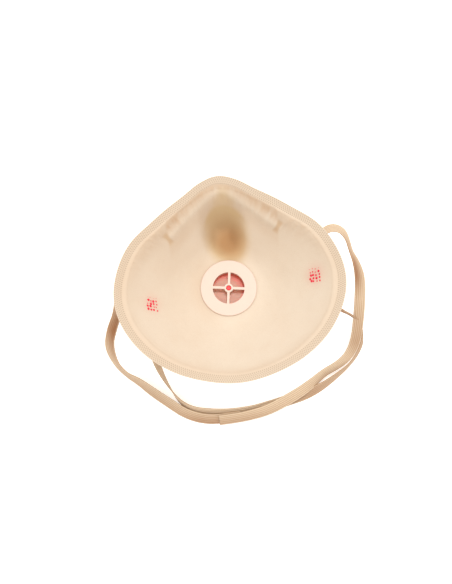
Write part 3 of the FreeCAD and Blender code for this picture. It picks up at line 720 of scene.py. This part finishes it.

# x, y, z in mm, the lean in degrees, 0 on edge and 90 flat, and how much painted shade the band's two edges
# take there
routes = {
    "headBandLeft": {
        "node": "head_band_left", "end": "bare", "points": [
            (-53.3, -8.8, 31.8, -40, 0.5, 0.5), (-53.7, -0.8, 31.4, -40, 0.5, 0.5),
            (-55.5, 6.5, 32.0, -38, 0.5, 0.5), (-61.0, 11.0, 32.5, -38, 0.4, 0.4),
            (-67.5, 9.0, 32.5, -42, 0.3, 0.3), (-71.0, 1.5, 32.0, -48, 0.3, 0.3),
            (-72.3, -10.6, 31.0, -60, 0.45, 0.8), (-77.9, -20.9, 26.5, -72, 0.7, 1.0),
            (-81.6, -30.1, 19.0, -62, 0.1, 0.75), (-78.9, -41.0, 11.5, -26, 0.1, 0.4),
            (-73.0, -48.6, 7.5, -18, 0.35, 0.2), (-65.8, -53.4, 5.0, -34, 0.4, 0.1),
            (-56.5, -62.2, 3.4, -52, 0.45, 0.05), (-46.5, -70.4, 2.7, -58, 0.45, 0.05),
            (-38.5, -77.2, 2.6, -58, 0.5, 0.1), (-28.7, -82.0, 2.5, -60, 0.7, 0.2),
            (-16.5, -84.3, 2.5, -60, 0.7, 0.2), (-2.0, -83.4, 2.5, -60, 0.6, 0.2)]},
    "headBandRight": {
        "node": "head_band_right", "end": "bare", "points": [
            (58.0, -2.5, 37.7, 37, 0.2, 0.2), (57.5, 5.5, 38.1, 37, 0.2, 0.2),
            (57.5, 18.5, 38.2, 40, 0.2, 0.1), (63.0, 24.6, 37.6, 46, 0.1, 0.05),
            (70.0, 27.5, 36.8, 60, 0, 0.05), (76.2, 24.9, 36.0, 50, 0, 0.1),
            (79.0, 18.4, 35.3, 28, 0, 0.5), (80.0, 11.0, 34.3, 26, 0.1, 0.6), (82.8, 3.4, 33.0, 46, 0, 1.0),
            (84.2, -6.5, 31.2, 74, 0, 1.0), (82.6, -19.5, 28.0, 86, 0, 0.2),
            (80.5, -32.2, 23.2, 82, 0.3, 0.3),
            (77.4, -45.8, 16.5, 72, 0.5, 0.4), (71.9, -54.1, 12.5, 54, 0.2, 0.05),
            (64.2, -58.9, 9.5, 42, 0.2, 0), (55.8, -62.0, 7.6, 40, 0.3, 0), (47.8, -67.4, 6.6, 52, 0.3, 0),
            (39.9, -72.2, 6.2, 68, 0.15, 0), (29.0, -77.2, 6.2, 76, 0.2, 0), (16.0, -82.1, 4.8, 68, 0.35, 0),
            (4.0, -84.0, 3.7, 61, 0.5, 0.05), (-6.0, -84.7, 3.4, 60, 0.5, 0.1),
            (-16.0, -84.8, 3.35, 60, 0.5, 0.1)]},
    "neckBand": {
        "node": "neck_band", "end": "object", "points": [
            (-53.3, -8.8, 31.8, 40, 0.4, 0.4), (-52.8, -16.8, 32.2, 40, 0.4, 0.4),
            (-53.6, -32.0, 20.5, 44, 0.3, 0.3), (-52.4, -42.5, 13.5, 38, 0.2, 0.15),
            (-49.7, -51.6, 9.0, 22, 0.3, 0.1), (-45.4, -61.0, 6.0, 4, 0.3, 0.1),
            (-40.2, -70.0, 4.3, -14, 0.3, 0.1), (-32.4, -76.4, 3.6, -34, 0.4, 0.05),
            (-21.8, -79.4, 3.0, -50, 0.6, 0), (-11.8, -80.9, 2.7, -56, 0.6, 0),
            (-2.0, -81.2, 2.7, -56, 0.6, 0), (7.2, -80.8, 2.4, -62, 0.5, 0),
            (18.0, -79.3, 1.7, -76, 0.4, 0.1), (30.6, -76.8, 1.4, -82, 0.4, 0.2),
            (39.7, -75.1, 1.8, -74, 0.5, 0.4), (47.9, -72.8, 2.8, -52, 0.5, 0.5),
            (56.0, -69.4, 3.9, -34, 0.4, 0.5), (65.4, -63.9, 5.2, -20, 0.3, 0.5),
            (73.2, -58.6, 6.9, -10, 0.3, 0.5), (78.6, -52.6, 8.6, -14, 0.5, 0.5),
            (82.3, -46.2, 10.6, -18, 0.6, 0.5), (83.3, -39.0, 13.4, -6, 0.6, 0.5),
            (81.6, -32.8, 17.5, -4, 0.6, 0.6), (76.6, -29.0, 23.0, -8, 0.9, 0.7),
            (70.0, -26.0, 28.5, -2, 0.9, 0.7), (61.0, -20.5, 33.5, 30, 0.6, 0.6),
            (58.5, -10.4, 37.3, 37, 0.4, 0.4), (58.0, -2.5, 37.7, 37, 0.3, 0.3)]},
}


def bandLine(name, points):
    # a NURBS line through the route's points, read back as places along it
    curve = bpy.data.curves.new(name + "Line", "CURVE")
    curve.dimensions = "3D"
    spline = curve.splines.new("NURBS")
    spline.points.add(len(points) - 1)
    for knot, point in zip(spline.points, points):
        knot.co = (*[value * mm for value in point[:3]], 1)
    spline.order_u = 3
    spline.use_endpoint_u = True
    spline.resolution_u = 24
    line = bpy.data.objects.new(name + "Line", curve)
    mesh = bpy.data.meshes.new_from_object(line)
    places = np.array([v.co for v in mesh.vertices])
    bpy.data.objects.remove(line)
    bpy.data.curves.remove(curve)
    bpy.data.meshes.remove(mesh)
    return places


def evenLine(places, step):
    gaps = np.linalg.norm(np.diff(places, axis=0), axis=1)
    run = np.concatenate([[0], np.cumsum(gaps)])
    count = round(run[-1] / step)
    at = np.linspace(0, run[-1], count + 1)
    return np.stack([np.interp(at, run, places[:, k]) for k in range(3)], -1), at


def bandMaterial(b):
    material, tree, shader = startMaterial("braidedElastic", b["colour"], 0.62, 0.25)
    shader.inputs["Sheen Weight"].default_value = b["sheen"]
    fibres = fibreNode(tree, b["fibreScale"], b["cloudScale"])
    groove = math2(tree, "MULTIPLY", maskNode(tree, "groove"), b["grooveShare"])
    colour = mixColour(tree, groove, b["colour"], b["grooveColour"])
    # painted shade where the band faces away from the light or lies in the mask's shadow
    colour = mixColour(tree, maskNode(tree, "bandShade"), colour, b["bandShadeColour"])
    fleck = above(tree, fibres.outputs["Fleck"], b["fleckFrom"], b["fleckGain"])
    colour = mixColour(tree, fleck, colour, b["grooveColour"])
    tree.links.new(colour, shader.inputs["Base Color"])
    addBump(tree, shader, fibres.outputs["Height"], 0.25, b["bumpDepth"])
    return material


def bothFaces(front, back):
    return np.concatenate([front, back[::-1][1:-1]])


def bandSection(b):
    # ribbed section with round edges: places across it and off its middle, grooves, and shares of the width
    u = np.linspace(-1, 1, b["acrossSteps"] + 1)
    ribs = np.abs(np.sin((u + 1) / 2 * math.pi * b["ribs"]))
    rise = b["thickness"] / 2 - b["ribDepth"] * (1 - ribs)
    overEdge = np.clip((np.abs(u) - (1 - b["edgeShare"])) / b["edgeShare"], 0, 1)
    rise *= np.sqrt(np.clip(1 - overEdge ** 2, b["edgeLeast"], 1))
    half = b["width"] / 2 * u
    grooves = bothFaces(1 - ribs, 1 - ribs) ** 2
    return bothFaces(half, half), bothFaces(rise, -rise), grooves, (bothFaces(u, u) + 1) / 2


def bandFrame(line, lean):
    # the directions across the band and out of its face
    course = np.gradient(line, axis=0)
    course /= np.linalg.norm(course, axis=1, keepdims=True)
    side = np.cross(course, (0, 0, 1))
    side /= np.linalg.norm(side, axis=1, keepdims=True)
    across = np.cross(side, course) * np.cos(lean)[:, None] + side * np.sin(lean)[:, None]
    return across, np.cross(course, across)


def makeBand(name, route, b, material):
    line, at = evenLine(bandLine(name, route["points"]), b["step"])
    nearest = [int(np.argmin(np.linalg.norm(line - np.array(p[:3]) * mm, axis=1))) for p in route["points"]]
    nearest[0], nearest[-1] = 0, len(line) - 1
    lean, lowEdgeShade, highEdgeShade = (
        np.interp(np.arange(len(line)), nearest, [p[k] for p in route["points"]]) for k in (3, 4, 5))
    for values in (lean, lowEdgeShade, highEdgeShade):
        for _ in range(b["smoothings"]):
            values[1:-1] = (values[:-2] + 2 * values[1:-1] + values[2:]) / 4
    across, face = bandFrame(line, np.radians(lean))
    loopU, loopN, grooves, loopShare = bandSection(b)
    # painted shade along the band, with less of it towards the two edges
    shadeLessAtEdges = 1 - b["shadeLessAtEdges"] * np.abs(2 * loopShare - 1) ** 6
    bandShade = lowEdgeShade[:, None] * (1 - loopShare) + highEdgeShade[:, None] * loopShare
    rings, around = len(line), len(loopU)
    ribWave = np.cos(loopU[None, :] / b["width"] * math.pi * b["ribs"] * 2)
    weave = 1 + b["weaveRise"] * np.sin(at / b["weavePitch"] * math.pi)[:, None] * ribWave
    verts = (line[:, None, :] + across[:, None, :] * loopU[None, :, None]
             + face[:, None, :] * (loopN[None, :] * weave)[..., None])
    faces = []
    for i in range(rings - 1):
        for j in range(around):
            k = (j + 1) % around
            faces.append((i * around + j, i * around + k, (i + 1) * around + k, (i + 1) * around + j))
    faces.append(tuple(reversed(range(around))))
    faces.append(tuple((rings - 1) * around + j for j in range(around)))
    piece = addPiece(name, verts.reshape(-1, 3), faces, material)
    setMask(piece, "groove", np.tile(grooves, rings))
    setMask(piece, "bandShade", bandShade * shadeLessAtEdges)
    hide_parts(route["node"])


elasticMaterial = bandMaterial(band)
for bandName, bandRoute in routes.items():
    makeBand(bandName, bandRoute, band, elasticMaterial)
print("elastic band ready")


# valve, clip and anchors: the CAD's own pieces, painted
plastics = {
    "seat": {"colour": (0.70, 0.56, 0.485), "roughness": 0.42},
    "cover": {"colour": (0.70, 0.59, 0.49), "roughness": 0.45},
    "disc": {"colour": (0.66, 0.30, 0.22), "roughness": 0.4, "stemColour": (0.88, 0.008, 0.02),
             "stemHeight": 2.2 * mm, "shadeColour": (0.78, 0.13, 0.085), "shadeOff": (-2.2 * mm, -3.4 * mm),
             "shadeRadius": 9.0 * mm, "shadeEdge": 3.0 * mm, "subsurface": 0.6,
             "subsurfaceRadius": (4 * mm, 1.5 * mm, 1 * mm)},
    "anchor": {"colour": (0.62, 0.02, 0.03), "roughness": 0.3},
    "clip": {"colour": (0.72, 0.72, 0.73), "roughness": 0.38},
}


def paintNode(node, material):
    mesh = nodes[node].data
    mesh.materials.clear()
    mesh.materials.append(material)


def discMaterialOf(p):
    # painted shadow: a deeper red on the disc beyond an offset circle, under the port's far edge; the stem
    # is a deeper red of its own, where the silicone is thicker
    material, tree, shader = plasticMaterial("siliconeDisc", p)
    colour = shader.inputs["Base Color"].links[0].from_socket
    parts = tree.nodes.new("ShaderNodeSeparateXYZ")
    tree.links.new(objectVector(tree), parts.inputs[0])
    offX = math2(tree, "SUBTRACT", parts.outputs["X"], p["shadeOff"][0])
    offY = math2(tree, "SUBTRACT", parts.outputs["Y"], p["shadeOff"][1])
    squares = math2(tree, "ADD", math2(tree, "MULTIPLY", offX, offX), math2(tree, "MULTIPLY", offY, offY))
    reach = math2(tree, "SQRT", squares, 0)
    past = math2(tree, "SUBTRACT", reach, p["shadeRadius"])
    colour = mixColour(tree, math2(tree, "DIVIDE", past, p["shadeEdge"], True), colour, p["shadeColour"])
    stem = math2(tree, "GREATER_THAN", parts.outputs["Z"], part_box("valve_disc")[1][2] - p["stemHeight"])
    tree.links.new(mixColour(tree, stem, colour, p["stemColour"]), shader.inputs["Base Color"])
    shader.inputs["Subsurface Weight"].default_value = p["subsurface"]
    shader.inputs["Subsurface Radius"].default_value = p["subsurfaceRadius"]
    shader.inputs["Subsurface Scale"].default_value = 1.0
    return material


seatMaterial = plasticMaterial("seatPlastic", plastics["seat"])[0]
coverMaterial = plasticMaterial("coverPlastic", plastics["cover"])[0]
anchorMaterial = plasticMaterial("anchorPlastic", plastics["anchor"])[0]
discMaterial = discMaterialOf(plastics["disc"])
clipMaterial, _, clipShader = plasticMaterial("softAluminium", plastics["clip"], 0.2)
clipShader.inputs["Metallic"].default_value = 1.0
for node, material in (
        ("valve_seat", seatMaterial), ("valve_ring", coverMaterial), ("valve_cover", coverMaterial),
        ("valve_disc", discMaterial), ("nose_clip", clipMaterial),
        ("strap_anchor_left", anchorMaterial), ("strap_anchor_right", anchorMaterial)):
    paintNode(node, material)
print("valve, clip and anchors ready")
